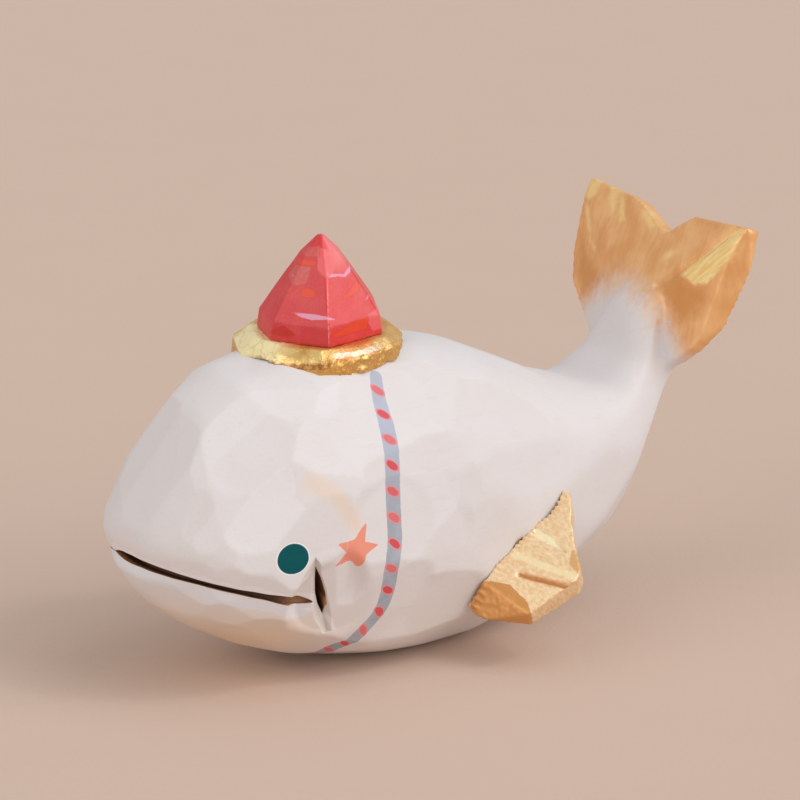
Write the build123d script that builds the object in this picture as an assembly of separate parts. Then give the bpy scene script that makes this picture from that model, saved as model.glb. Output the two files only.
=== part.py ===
from build123d import *
import os
from math import atan2, cos, radians, sin, sqrt, tan

# A small hand-carved wooden whale in a party hat, in millimetres.
# The snout points to -X, the tail to +X, and the whale's left side faces -Y.
# It is laid out with its snout at X = 0 and moved to its middle at the end.

# Body block
body_length = 103.0
body_height = 54.0
body_width = 44.8

# Knife facets on the body
facet_depth = 0.64

# Flukes, carved from the same block
fluke_span = 42.6
fluke_height = 29.0
fluke_root_thickness = 7.0
fluke_edge_thickness = 2.6
fluke_rise = 15.6
fluke_sideways = 0.8
fluke_rake = 69.0
fluke_crease_tilt = 13.0
left_edge_tilt = 48.0
right_edge_tilt = 32.0

# Mouth, a deep knife slit that runs round the snout, with a shaved lower lip
mouth_reach = 22.8
mouth_front_height = 23.4
mouth_corner_height = 16.2
slit_width = 1.1
slit_depth = 3.2
lip_width = 2.2
lip_depth = 1.0
lip_runout = 0.25
mouth_cuts = 12

# Gills, a knife stab on each side between a steep and a shallow flank
gill_from_snout = 24.6
gill_height = 17.3
gill_length = 16.0
gill_lean = 19.0
gill_dive = 7.0
gill_depth = 1.4
gill_front_slope = 62.0
gill_rear_slope = 32.0
stab_length = 9.5
stab_width = 1.0
stab_depth = 3.4

# Party hat: a faceted cone on a brim that is hollowed to sit on the back
hat_from_snout = 37.6
hat_above_back = 1.45
hat_lean = 5.5
hat_heading = 235.0
cone_radius = 10.4
cone_height = 15.4
cone_tip_radius = 0.6
brim_radius = 14.2
brim_edge_inset = 0.6
brim_ledge = 0.5
brim_fall = 2.0
brim_skirt = 7.5

# Pectoral fins, hollowed at the root to sit on the flanks
fin_from_snout = 63.0
fin_root_height = 17.8
fin_chord = 25.0
fin_span = 12.0
fin_thickness = 4.4
fin_root_depth = 4.5
fin_rise = 33.0
fin_toe = 4.0
fin_droop = 20.0
fin_sweep = 16.0
fin_front_tilt = 42.0
fin_crest_tilt = 11.0
fin_rear_tilt = 30.0

# Hidden dowels and the play round them
hat_dowel_diameter = 4.0
hat_dowel_in_body = 9.0
hat_dowel_in_cone = 8.0
fin_dowel_diameter = 2.0
fin_dowel_in_body = 6.0
fin_dowel_in_fin = 5.0
dowel_play = 0.1
dowel_chamfer = 0.3

# Body sections, snout to tail: place along, height of the middle line, lean in degrees,
# reach above and below that line, half width, and fullness above and below
section_shares = [
    (0.006, 0.455, 0, 0.046, 0.070, 0.225, 0.56, 0.56),
    (0.022, 0.455, 0, 0.115, 0.135, 0.450, 0.56, 0.57),
    (0.056, 0.450, 0, 0.232, 0.203, 0.660, 0.55, 0.58),
    (0.107, 0.447, 0, 0.370, 0.272, 0.832, 0.56, 0.59),
    (0.180, 0.445, 0, 0.486, 0.344, 0.948, 0.59, 0.61),
    (0.272, 0.445, 0, 0.526, 0.406, 0.996, 0.61, 0.64),
    (0.369, 0.445, 0, 0.534, 0.443, 1.000, 0.61, 0.66),
    (0.485, 0.445, 0, 0.522, 0.457, 0.994, 0.60, 0.66),
    (0.602, 0.445, 2, 0.466, 0.452, 0.940, 0.59, 0.64),
    (0.709, 0.472, 8, 0.368, 0.412, 0.850, 0.57, 0.61),
    (0.806, 0.528, 18, 0.246, 0.358, 0.722, 0.56, 0.58),
    (0.898, 0.624, 32, 0.110, 0.270, 0.566, 0.55, 0.57),
    (0.954, 0.731, 46, 0.096, 0.204, 0.432, 0.55, 0.56),
    (1.000, 0.861, 60, 0.092, 0.136, 0.345, 0.55, 0.56),
    (1.034, 1.000, 69, 0.026, 0.026, 0.300, 0.55, 0.55),
]

# Knife facets on each flank, the belly and the tail: place along, degrees up from level,
# and depth as a share of the usual one
flank_shares = [
    (0.05, -40, 0.9), (0.12, -56, 1.0), (0.13, 22, 1.1), (0.16, -20, 0.7), (0.23, -48, 1.2), (0.25, 6, 1.0),
    (0.36, -66, 0.8), (0.37, -30, 1.3), (0.41, 14, 0.9), (0.50, -52, 1.2), (0.54, -8, 1.2), (0.63, -62, 1.0),
    (0.65, -28, 1.3), (0.70, 12, 1.0), (0.76, -55, 1.1), (0.80, -16, 1.0), (0.88, -50, 1.0), (0.90, 0, 0.8),
    (0.95, -36, 0.8),
]

# Knife facets on the forehead and shoulders, which end before the back dips, with the flat seat
# under the hat
crown_shares = [
    (0.05, 42, 0.8), (0.08, 90, 0.9), (0.15, 50, 1.2), (0.20, 30, 0.9), (0.24, 68, 0.6), (0.30, 44, 1.2),
    (0.37, 90, 1.6), (0.42, 52, 1.1), (0.45, 30, 0.8), (0.51, 46, 1.1),
]
crown_end_share = 0.64

# Outline of a knife stab: shares of its half length and half width
stab_outline_shares = [(-1.0, 0.0), (-0.5, 0.7), (0.3, 1.0), (1.0, 0.0), (0.4, -0.9), (-0.4, -0.8)]

# The notch between the fluke lobes, and the outline of each lobe from there, uneven as carved by
# hand: shares of the half span and of the height
notch_shares = (0.09, -0.034)
left_lobe_shares = [
    (0.35, 0.104), (1.00, 0.124), (1.01, -0.10), (0.93, -0.41), (0.70, -0.62), (0.46, -0.77), (0.34, -0.86),
]
right_lobe_shares = [
    (0.33, 0.111), (1.02, 0.165), (1.02, 0.10), (1.04, -0.28), (0.98, -0.46), (0.68, -0.65), (0.48, -0.78),
    (0.34, -0.86),
]
crease_shares = [(0.88, 0.12), (0.22, -0.34)]
left_edge_shares = [(0.95, 0.13), (0.76, -0.27)]
right_edge_shares = [(1.04, 0.10), (0.86, -0.32)]

# Hat facets: bearings of the cone's ridges, its profile as shares of radius and height,
# and the uneven edge of the brim
ridge_bearings = (8, 70, 126, 180, 232, 272, 311)
cone_profile_shares = [(1.00, 0.00), (0.96, 0.21), (0.32, 0.83)]
brim_edge_shares = (1.00, 0.97, 1.01, 0.99, 1.00, 0.98, 1.02, 1.03, 1.07, 1.04, 1.02)

# Fin outline from the middle of its root, and the lines of its three shaved facets:
# shares of the chord and of the span
fin_outline_shares = [
    (-0.51, -0.10), (-0.54, 0.08), (-0.37, 0.72), (0.00, 0.94), (0.075, 0.88), (0.325, 0.20), (0.495, -0.04),
    (0.48, -0.16),
]
fin_front_shares = [(-0.33, 0.00), (-0.31, 0.60)]
fin_crest_shares = [(-0.19, 0.10), (-0.03, 0.95)]
fin_rear_shares = [(0.03, 1.00), (0.44, 0.00)]
blade_top_share = 0.3


def section(row):
    """One closed cross-section of the body, made of four round quarters."""
    along, middle, lean, above, below, side, full_above, full_below = row
    tilt = radians(lean)
    plane = Plane(
        origin=(along * body_length, 0, middle * body_height),
        x_dir=(0, 1, 0),
        z_dir=(cos(tilt), 0, sin(tilt)),
    )
    half = side * body_width / 2
    quarters = []
    for reach, fullness in ((above * body_height, full_above), (-below * body_height, full_below)):
        for way in (half, -half):
            quarters.append(Bezier((way, 0), (way, fullness * reach), (fullness * way, reach), (0, reach)))
    return make_face(plane * Curve(quarters))


def middle_line(along):
    """Height and lean of the body's middle line at a place along the body."""
    for low, high in zip(section_shares, section_shares[1:]):
        if along <= high[0]:
            part = (along - low[0]) / (high[0] - low[0])
            break
    middle = low[1] + part * (high[1] - low[1])
    lean = low[2] + part * (high[2] - low[2])
    return middle * body_height, radians(lean)


def skin_point(solid, start, heading):
    """Where a line from inside leaves the solid, and the way the skin faces there."""
    hits = solid.find_intersection_points(Axis(start, heading))
    ahead = [hit for hit in hits if (hit[0] - start).dot(heading) > 0]
    point, facing = ahead[-1]
    if facing.dot(heading) < 0:
        facing = -facing
    return point, facing


def slice_off(point, facing, reach):
    """A block that removes what stands beyond a flat through a point."""
    blade = Plane(origin=point, z_dir=facing)
    return blade * Box(reach, reach, reach, align=(Align.CENTER, Align.CENTER, Align.MIN))


def bevel(start, end, tilt, reach):
    """A block that shaves an upward face down, on the right of a line along it."""
    right = (end - start).cross(Vector(0, 0, 1)).normalized()
    facing = right * sin(radians(tilt)) + Vector(0, 0, 1) * cos(radians(tilt))
    return slice_off(start, facing, reach)


def knife_waste(trunk, cuts, room):
    """What a row of flat knife cuts, alike on both sides, takes from the space round the trunk."""
    kept = room
    for along, rise, depth_share in cuts:
        height, lean = middle_line(along)
        start = Vector(along * body_length, 0, height)
        climb = radians(rise)
        for way in (1, -1):
            heading = Vector(-sin(lean) * sin(climb), way * cos(climb), cos(lean) * sin(climb))
            point, facing = skin_point(trunk, start, heading)
            kept -= slice_off(point - facing * facet_depth * depth_share, facing, 4 * body_length)
    return room - kept


def shavings(trunk):
    """The waste of the knife facets, and of the flat that it stands on."""
    room = Box(2 * body_length, 2 * body_width, 2 * body_height)
    middle = body_height / 2
    whole = Pos(body_length / 2, 0, middle) * room
    front = Pos((crown_end_share - 1) * body_length, 0, middle) * room
    under = Pos(body_length / 2, 0, -body_height) * room
    return [knife_waste(trunk, flank_shares, whole), knife_waste(trunk, crown_shares, front), under]


def make_flukes():
    """A two-lobed blade, thick at its root, with two shaved facets on each lobe."""
    half = fluke_span / 2
    notch = (notch_shares[0] * half, notch_shares[1] * fluke_height)
    left = [(x * half, y * fluke_height) for x, y in left_lobe_shares]
    right = [(-x * half, y * fluke_height) for x, y in reversed(right_lobe_shares)]
    outline = make_face(Polyline(notch, *left, *right, close=True))
    blade = extrude(outline, fluke_root_thickness / 2, both=True)
    low = min(y for _, y in left)
    high = max(y for _, y in right)
    thinning = atan2((fluke_root_thickness - fluke_edge_thickness) / 2, high - low)
    for face in (1, -1):
        facing = Vector(0, sin(thinning), face * cos(thinning))
        blade -= slice_off(Vector(0, high, face * fluke_edge_thickness / 2), facing, 3 * fluke_span)
    left_cuts = [(crease_shares, fluke_crease_tilt), (left_edge_shares, left_edge_tilt)]
    right_cuts = [(crease_shares, fluke_crease_tilt), (right_edge_shares, right_edge_tilt)]
    for cuts, is_right in ((left_cuts, False), (right_cuts, True)):
        for line, tilt in cuts:
            ends = []
            for x, y in line:
                skin = fluke_edge_thickness / 2 + (high - y * fluke_height) * sin(thinning)
                ends.append(Vector(x * half, y * fluke_height, skin))
            shaving = bevel(ends[1], ends[0], tilt, 2 * fluke_span)
            blade -= mirror(shaving, about=Plane.YZ) if is_right else shaving
    rake = radians(fluke_rake)
    stock_end = section_shares[-2]
    plane = Plane(
        origin=(
            stock_end[0] * body_length + fluke_rise * cos(rake),
            fluke_sideways,
            stock_end[1] * body_height + fluke_rise * sin(rake),
        ),
        x_dir=(0, -1, 0),
        z_dir=(-sin(rake), 0, cos(rake)),
    )
    return plane * blade


def mouth_plane():
    """The slanted flat of the mouth slit, with its origin between the mouth's corners."""
    drop = mouth_front_height - mouth_corner_height
    ahead = Vector(-mouth_reach, 0, drop)
    upright = Vector(drop, 0, mouth_reach)
    return Plane(origin=(mouth_reach, 0, mouth_corner_height), x_dir=ahead, z_dir=upright)


def mouth_outline(trunk, level, inset):
    """The snout's outline at a level near the slit, in short knife cuts, set in most at the front."""
    plane = mouth_plane()
    centre = plane.origin + plane.z_dir * level
    points = []
    for step in range(mouth_cuts + 1):
        turn = radians(180 * step / mouth_cuts - 90)
        heading = plane.x_dir * cos(turn) + plane.y_dir * sin(turn)
        point, _ = skin_point(trunk, centre, heading)
        depth = inset * sqrt(max(cos(turn), 0))
        points.append(point - heading * depth)
    return make_face(Polyline(*points, close=True))


def cut_mouth(trunk):
    """The waste of the slit and of the shaved lower lip."""
    plane = mouth_plane()
    field = plane * Pos(body_width, 0) * Rectangle(2 * body_width, 2 * body_width)
    upright = plane.z_dir
    slab = extrude(field, slit_width / 2, dir=upright, both=True)
    core = extrude(mouth_outline(trunk, 0, slit_depth), slit_width, dir=upright, both=True)
    top = -slit_width / 2
    band = extrude(Pos(upright * top) * field, lip_width, dir=-upright)
    shaved = mouth_outline(trunk, top, lip_depth)
    untouched = mouth_outline(trunk, top - lip_width, -lip_runout)
    return [slab - core, band - loft([shaved, untouched], ruled=True)]


def cut_gills(trunk):
    """The waste of both gills: a vee with one shallow flank, and a stab along its bottom."""
    lean = radians(gill_lean)
    dive = radians(gill_dive)
    start = Vector(gill_from_snout, 0, gill_height)
    point, facing = skin_point(trunk, start, Vector(0, -1, 0))
    down = Vector(sin(lean), 0, -cos(lean))
    down = (down - facing * down.dot(facing)).normalized()
    bottom = down * cos(dive) - facing * sin(dive)
    plane = Plane(origin=point, x_dir=bottom, z_dir=facing * cos(dive) + down * sin(dive))
    lift = 2 * gill_depth
    rise = gill_depth + lift
    vee = Polyline(
        (0, -gill_depth),
        (rise / tan(radians(gill_rear_slope)), lift),
        (-rise / tan(radians(gill_front_slope)), lift),
        close=True,
    )
    across = Plane(origin=(0, 0, 0), x_dir=(0, 1, 0), z_dir=(1, 0, 0))
    groove = extrude(across * make_face(vee), gill_length, both=True)
    corners = [(x * stab_length / 2, y * stab_width / 2) for x, y in stab_outline_shares]
    stab = extrude(make_face(Polyline(*corners, close=True)), stab_depth, both=True)
    left = [plane * groove, plane * stab]
    return left + [mirror(tool, about=Plane.XZ) for tool in left]


def make_body(trunk, holes):
    """The block: lofted trunk, knife facets, mouth, gills, dowel holes and flukes."""
    waste = shavings(trunk) + cut_mouth(trunk) + cut_gills(trunk) + holes
    return (trunk - waste) + make_flukes()


def hat_plane(trunk):
    """The flat between the brim and the cone, which leans with the hat, just above the back."""
    lean = radians(hat_lean)
    heading = radians(hat_heading)
    upright = Vector(sin(lean) * cos(heading), sin(lean) * sin(heading), cos(lean))
    ahead = Vector(cos(lean) * cos(heading), cos(lean) * sin(heading), -sin(lean))
    inside = Vector(hat_from_snout, 0, body_height / 2)
    back, _ = skin_point(trunk, inside, Vector(0, 0, 1))
    return Plane(origin=back + Vector(0, 0, hat_above_back), x_dir=ahead, z_dir=upright)


def ring(radii, level, bearings):
    """The corners of a many-sided outline round the hat's axis, at a level above the cone's seat."""
    corners = []
    for radius, bearing in zip(radii, bearings):
        turn = radians(bearing)
        corners.append(Vector(radius * cos(turn), radius * sin(turn), level))
    return corners


def make_cone(seat):
    """The cone, sliced facet by facet from a prism: steep at its foot and blunt at its tip."""
    sides = len(ridge_bearings)
    rings = []
    for radius_share, height_share in cone_profile_shares:
        rings.append(ring([cone_radius * radius_share] * sides, cone_height * height_share, ridge_bearings))
    rings.append(ring([cone_tip_radius] * sides, cone_height, ridge_bearings))
    cone = extrude(make_face(Polyline(*rings[0], close=True)), cone_height)
    for low, high in zip(rings, rings[1:]):
        for side in range(sides):
            across = low[(side + 1) % sides] - low[side]
            facing = across.cross(high[side] - low[side])
            cone -= slice_off(low[side], facing, 3 * cone_height)
    return seat * cone


def make_brim(body, seat):
    """The brim: a sloping collar with an uneven edge, hollowed to fit the back."""
    count = len(brim_edge_shares)
    bearings = [360 * step / count for step in range(count)]
    levels = (
        (brim_radius, -brim_fall - brim_skirt),
        (brim_radius - brim_edge_inset, -brim_fall),
        (cone_radius + brim_ledge, 0),
    )
    rings = []
    for radius, level in levels:
        corners = ring([radius * share for share in brim_edge_shares], level, bearings)
        rings.append(make_face(Polyline(*corners, close=True)))
    return seat * loft(rings, ruled=True) - body


def fin_plane(trunk):
    """The left fin's own flat: chord along X, root to tip along -Y, upper face along Z."""
    rise = radians(fin_rise)
    toe = radians(fin_toe)
    droop = radians(fin_droop)
    sweep = radians(fin_sweep)
    chord = Vector(cos(rise) * cos(toe), cos(rise) * sin(toe), sin(rise))
    outward = Vector(cos(droop) * sin(sweep), -cos(droop) * cos(sweep), -sin(droop))
    start = Vector(fin_from_snout, 0, fin_root_height)
    root, _ = skin_point(trunk, start, Vector(0, -1, 0))
    return Plane(origin=root, x_dir=chord, z_dir=outward.cross(chord))


def make_fin(body, plane):
    """The left fin: a flat paddle with three shaved facets, hollowed to fit the flank."""
    outline = [(x * fin_chord, -y * fin_span) for x, y in fin_outline_shares]
    outline.append((outline[-1][0], fin_root_depth))
    outline.append((outline[0][0], fin_root_depth))
    blade = extrude(make_face(Polyline(*outline, close=True)), fin_thickness)
    blade = Pos(0, 0, (blade_top_share - 1) * fin_thickness) * blade
    top = blade_top_share * fin_thickness
    for line, tilt in (
        (fin_front_shares, fin_front_tilt),
        (fin_crest_shares, fin_crest_tilt),
        (fin_rear_shares, fin_rear_tilt),
    ):
        ends = [Vector(x * fin_chord, -y * fin_span, top) for x, y in line]
        blade -= bevel(ends[0], ends[1], tilt, 3 * fin_chord)
    return plane * blade - body


def dowel(plane, diameter, below, above):
    """A round pin across a seat, with chamfered ends."""
    pin = Cylinder(diameter / 2, below + above, align=(Align.CENTER, Align.CENTER, Align.MIN))
    pin = chamfer(pin.edges().filter_by(GeomType.CIRCLE), dowel_chamfer)
    return plane * Pos(0, 0, -below) * pin


def dowel_hole(plane, diameter, below, above):
    """The hole that a pin sits in: snug at its bottom, with play round it and above it."""
    length = below + above + dowel_play
    hole = Cylinder(diameter / 2 + dowel_play, length, align=(Align.CENTER, Align.CENTER, Align.MIN))
    return plane * Pos(0, 0, -below) * hole


def make_whale():
    """Every piece in its place, by name."""
    trunk = loft([section(row) for row in section_shares], ruled=True)
    seat = hat_plane(trunk)
    flat = fin_plane(trunk)
    outward = Plane(origin=flat.origin, x_dir=flat.x_dir, z_dir=-flat.y_dir)
    hat_pin = (seat, hat_dowel_diameter, hat_dowel_in_body, hat_dowel_in_cone)
    fin_pin = (outward, fin_dowel_diameter, fin_dowel_in_body, fin_dowel_in_fin)
    hat_hole = dowel_hole(*hat_pin)
    fin_hole = dowel_hole(*fin_pin)
    body = make_body(trunk, [hat_hole, fin_hole, mirror(fin_hole, about=Plane.XZ)])
    left_fin = make_fin(body, flat) - fin_hole
    left_pin = dowel(*fin_pin)
    return {
        "body": body,
        "hat_brim": make_brim(body, seat) - hat_hole,
        "hat_cone": make_cone(seat) - hat_hole,
        "hat_dowel": dowel(*hat_pin),
        "left_pectoral_fin": left_fin,
        "right_pectoral_fin": mirror(left_fin, about=Plane.XZ),
        "left_fin_dowel": left_pin,
        "right_fin_dowel": mirror(left_pin, about=Plane.XZ),
    }


def place_in_middle(pieces):
    """Move the whale so that the middle of its underside is at the origin."""
    boxes = [piece.bounding_box() for piece in pieces.values()]
    middle = (min(box.min.X for box in boxes) + max(box.max.X for box in boxes)) / 2
    sideways = (min(box.min.Y for box in boxes) + max(box.max.Y for box in boxes)) / 2
    print("snout was", round(middle, 3), "mm ahead of the middle")
    return {name: Pos(-middle, -sideways, 0) * piece for name, piece in pieces.items()}


os.makedirs("parts", exist_ok=True)
for name, piece in place_in_middle(make_whale()).items():
    export_step(piece, f"parts/{name}.step")
    print(name, round(piece.volume, 1), "mm3 in", len(piece.solids()), "solid")
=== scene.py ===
from math import cos, pi, radians, sin

import bmesh
import bpy
import numpy as np
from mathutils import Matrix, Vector, noise
from mathutils.bvhtree import BVHTree
from mathutils.kdtree import KDTree


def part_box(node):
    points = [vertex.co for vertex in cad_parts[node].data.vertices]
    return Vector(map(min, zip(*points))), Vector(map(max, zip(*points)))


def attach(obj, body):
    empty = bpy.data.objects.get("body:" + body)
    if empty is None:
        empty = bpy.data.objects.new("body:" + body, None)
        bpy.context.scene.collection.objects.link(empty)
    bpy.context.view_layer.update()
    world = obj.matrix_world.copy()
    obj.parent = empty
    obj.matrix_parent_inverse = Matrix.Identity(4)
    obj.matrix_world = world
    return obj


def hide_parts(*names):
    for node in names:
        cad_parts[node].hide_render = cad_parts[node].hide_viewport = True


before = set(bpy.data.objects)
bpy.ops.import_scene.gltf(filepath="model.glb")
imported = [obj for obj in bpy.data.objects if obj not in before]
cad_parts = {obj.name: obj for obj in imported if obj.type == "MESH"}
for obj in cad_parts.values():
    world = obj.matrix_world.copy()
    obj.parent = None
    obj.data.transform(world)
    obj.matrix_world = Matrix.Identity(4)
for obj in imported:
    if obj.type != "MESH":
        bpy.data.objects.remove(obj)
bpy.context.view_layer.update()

# A hand-carved, hand-painted wooden whale in a party hat.
# Lengths here are in millimetres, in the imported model's frame: the snout points to -X, the
# whale's left side faces -Y. Meshes and objects are in metres.
METRE = 1000.0

# Camera at the photograph's viewing angle
camera_aim = (-3.24, 0.0, 39.7)
camera_azimuth = -35.0
camera_elevation = 15.5
camera_distance = 600.0
camera_lens = 166.05
camera_sensor = 36.0

# Lamps, far away so that the floor is lit evenly: bearing, elevation, apparent width in degrees, how
# much of a facing surface's full brightness they give, and their colour
white_light = (1.0, 1.0, 0.995)
warm_light = (1.0, 0.93, 0.85)
lamps = {
    "key_lamp": (34.0, 33.0, 40.0, 0.29, white_light),
    "left_lamp": (-88.0, 25.0, 50.0, 0.25, warm_light),
    "low_lamp": (10.0, 9.0, 40.0, 0.13, warm_light),
    "top_lamp": (45.0, 62.0, 40.0, 0.13, white_light),
    "glint_lamp": (38.0, 50.0, 7.0, 0.05, white_light),
}
world_strength = 0.50
world_colour = (1.0, 1.0, 1.0)
floor_width = 9000.0

# Sculpting grid of each piece, how strongly its skin is rubbed down, and in how many rounds
body_grid = 0.42
cone_grid = 0.24
brim_grid = 0.25
fin_grid = 0.24
rub = 0.5
light_rounds = 2
brim_rounds = 3
body_rounds = 44

# How soft the edge of a cut flat is, and a gap that stands for nowhere near
flat_edge = 0.04
far_off = 20.0


def read_rows(items, name):
    """Three numbers of each item of a mesh, an item to a row."""
    flat = np.zeros(len(items) * 3, np.float32)
    items.foreach_get(name, flat)
    return flat.reshape(-1, 3).astype(float)


class Skin:
    """A piece's mesh as arrays, in millimetres, that can be smoothed and cut like wood."""

    def __init__(self, piece):
        self.piece = piece
        self.mesh = piece.data
        self.points = read_rows(self.mesh.vertices, "co") * METRE
        ends = np.zeros(len(self.mesh.edges) * 2, np.int32)
        self.mesh.edges.foreach_get("vertices", ends)
        ends = ends.reshape(-1, 2)
        self.source = np.concatenate([ends[:, 0], ends[:, 1]])
        self.target = np.concatenate([ends[:, 1], ends[:, 0]])
        self.links = np.maximum(np.bincount(self.target, minlength=len(self.points)), 1)

    def average(self):
        """The mean of each point's neighbours."""
        count = len(self.points)
        sums = [np.bincount(self.target, column[self.source], count) for column in self.points.T]
        return (np.array(sums) / self.links).T

    def smooth(self, weight, rounds):
        """Rub down the points by a weight from 0 to 1, one for all or one for each."""
        share = np.reshape(weight, (-1, 1))
        for _ in range(rounds):
            self.points += (self.average() - self.points) * share

    def move(self, amounts, ways):
        """Move each point by its own amount, along one way for all or one for each."""
        self.points += amounts[:, None] * ways

    def facings(self):
        """Which way the skin faces at each point."""
        self.store()
        return read_rows(self.mesh.vertex_normals, "vector")

    def store(self):
        """Write the points back to the mesh."""
        self.mesh.vertices.foreach_set("co", (self.points / METRE).astype(np.float32).ravel())
        self.mesh.update()

    def tag(self, **tags):
        """Keep numbers at each point for the paint to read, each kind by its name."""
        for name, values in tags.items():
            attribute = self.mesh.attributes.new(name, "FLOAT", "POINT")
            attribute.data.foreach_set("value", values.astype(np.float32))

    def cut_flat(self, centre, facing, depth, reach):
        """Take off what stands beyond a flat, near its centre only."""
        gap = self.points - centre
        near = np.clip(2 - np.linalg.norm(gap, axis=1) / reach * 2, 0, 1)
        proud = gap @ facing + depth
        taken = np.where(proud > 0, proud + flat_edge * np.exp(-np.abs(proud) / flat_edge), 0)
        self.move(-taken * np.minimum(near * 2, 1), facing)

    def finish(self):
        """Write the points back, and give the piece with smooth shading."""
        self.store()
        self.mesh.shade_smooth()
        return self.piece


def step(values, low, high):
    """0 at low, 1 at high, and smooth between them."""
    share = np.clip((values - low) / (high - low), 0, 1)
    return share * share * (3 - 2 * share)


def between(values, low, full, fading, high):
    """1 from full to fading, 0 below low and above high, and smooth between them."""
    return step(values, low, full) * (1 - step(values, fading, high))


def unit(vector):
    """A vector of length 1."""
    return np.array(vector, float) / np.linalg.norm(vector)


def speckle(points, size, seed):
    """Smooth noise from -1 to 1 at each point, with lumps of that size."""
    shift = Vector((seed * 17.3, seed * 5.9, seed * 11.1))
    return np.array([noise.noise(Vector(point) / size + shift) for point in points])


def line_gap(places, route, half_width):
    """How far each place is from a stroke along a route, below 0 on it."""
    route = np.array(route, float)
    gaps = []
    for start, end in zip(route, route[1:]):
        gap = places - start
        edge = end - start
        share = np.clip(gap @ edge / (edge @ edge), 0, 1)
        gaps.append(np.linalg.norm(gap - np.outer(share, edge), axis=1))
    return np.min(gaps, axis=0) - half_width


def polygon_gap(places, corners):
    """How far each flat place is from a polygon's edge, below 0 inside it."""
    route = np.array([*corners, corners[0]], float)
    inside = np.zeros(len(places), bool)
    for start, end in zip(route, route[1:]):
        if start[1] != end[1]:
            edge = end - start
            level = (places[:, 1] - start[1]) / edge[1]
            inside ^= (level >= 0) & (level < 1) & (start[0] + level * edge[0] > places[:, 0])
    nearest = line_gap(places, route, 0)
    return np.where(inside, -nearest, nearest)


def polygons_gap(places, shapes):
    """The same for several polygons at once."""
    return np.min([polygon_gap(places, corners) for corners in shapes], axis=0)


def prism(name, sections):
    """A closed solid through a row of outlines that have as many points each."""
    mesh = bpy.data.meshes.new(name)
    count = len(sections[0])
    points = [Vector(point) / METRE for section in sections for point in section]
    faces = [list(range(count)), list(range(len(points) - count, len(points)))]
    for row in range(len(sections) - 1):
        for side in range(count):
            following = (side + 1) % count
            low = row * count
            faces.append([low + side, low + following, low + count + following, low + count + side])
    mesh.from_pydata(points, [], faces)
    work = bmesh.new()
    work.from_mesh(mesh)
    bmesh.ops.recalc_face_normals(work, faces=work.faces)
    work.to_mesh(mesh)
    work.free()
    return mesh


def apply_modifiers(piece):
    """Give a piece the mesh that its modifiers make."""
    graph = bpy.context.evaluated_depsgraph_get()
    mesh = bpy.data.meshes.new_from_object(piece.evaluated_get(graph))
    piece.modifiers.clear()
    mesh.name = piece.name
    piece.data = mesh


def knife(piece, cutters):
    """Cut each closed solid out of a piece, with crisp edges."""
    for cutter in cutters:
        blade = bpy.data.objects.new("blade", cutter)
        bpy.context.scene.collection.objects.link(blade)
        cut = piece.modifiers.new("cut", "BOOLEAN")
        cut.operation = "DIFFERENCE"
        cut.solver = "MANIFOLD"
        cut.material_mode = "TRANSFER"
        cut.object = blade
        apply_modifiers(piece)
        bpy.data.objects.remove(blade)


def dense_skin(node, name, grid, fillers=()):
    """The skin of a new piece that stands for a CAD node: its shape and fillers in small even faces."""
    work = bmesh.new()
    work.from_mesh(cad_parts[node].data)
    bmesh.ops.remove_doubles(work, verts=work.verts, dist=grid / 400 / METRE)
    for filler in fillers:
        work.from_mesh(filler)
    mesh = bpy.data.meshes.new(name)
    work.to_mesh(mesh)
    work.free()
    piece = bpy.data.objects.new(name, mesh)
    bpy.context.scene.collection.objects.link(piece)
    remesh = piece.modifiers.new("remesh", "REMESH")
    remesh.mode = "VOXEL"
    remesh.voxel_size = grid / METRE
    apply_modifiers(piece)
    piece.data.materials.clear()
    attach(piece, "root")
    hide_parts(node)
    return Skin(piece)


# The body: places on it are measured back from the tip of the snout, and what is on its left side is
# turned to the right side by to_right
body_low = np.array(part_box("body")[0]) * METRE
snout = body_low[0]
to_right = np.array([1, -1, 1])

# Mouth: a slit in a slanted flat, deepest in front, and open most near its corners
mouth_back = 22.2
mouth_reach = 22.8
modelled_mouth = (16.2, 7.2)
carved_mouth = (15.85, 6.8)
slit_depth = 3.6
slit_depth_least = 0.09
slit_turns = (-94, -91, -86, -79, -66, -55, -42, -32, -20, -6, 4, 9, 12, 17, 20, 32, 42, 55, 66, 79,
              86, 91, 94)
slit_halves = (0.10, 0.38, 0.66, 0.84, 0.56, 0.45, 0.38, 0.46, 0.60, 0.72, 0.70, 0.44, 0.05, 0.05, 0.42,
               0.46, 0.38, 0.46, 0.56, 0.84, 0.66, 0.38, 0.10)
slit_end = 94.0
slit_step = 2.0
slit_run_out = 5.0
# The slit's width wanders by turn, but not at its corners and where it is narrowest
wander = 0.08
wander_turns = 3.0
wander_lumps = (2.0, 7)
wander_ends = (-90.0, -70.0)
narrow_turn = 14.5
narrow_reach = (3.0, 6.0)
# A slab that closes the modelled mouth
filler_half = 0.75
filler_depth = 4.2
filler_end = 96.0
filler_step = 4.0

# Gills: a vee with one shallow flank, lifted out of the skin towards its ends, and an almond-shaped
# stab along its bottom, whose widths are given by how far out of the skin they are
gill_place = (24.3, 17.3)
gill_ring = (3.5, 6.5)
gill_lean = 17.0
gill_depth = 1.5
gill_half_length = 8.6
gill_slopes = (60.0, 30.0)
gill_lifts = [(-1.0, 1.35), (-0.55, 0.35), (0.0, 0.0), (0.6, 0.25), (1.0, 1.25)]
stab_shares = [(-1.0, 0.0), (-0.6, 0.55), (0.0, 1.0), (0.45, 0.9), (1.0, 0.1), (0.5, -0.75), (0.0, -0.8),
               (-0.6, -0.5)]
stab_half_length = 5.3
stab_half_width = 0.74
stab_depth = 3.2
stab_drop = 0.5
stab_widths = [(1.0, 1.25), (-gill_depth, 1.0), (-gill_depth - stab_depth, 0.5)]

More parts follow.
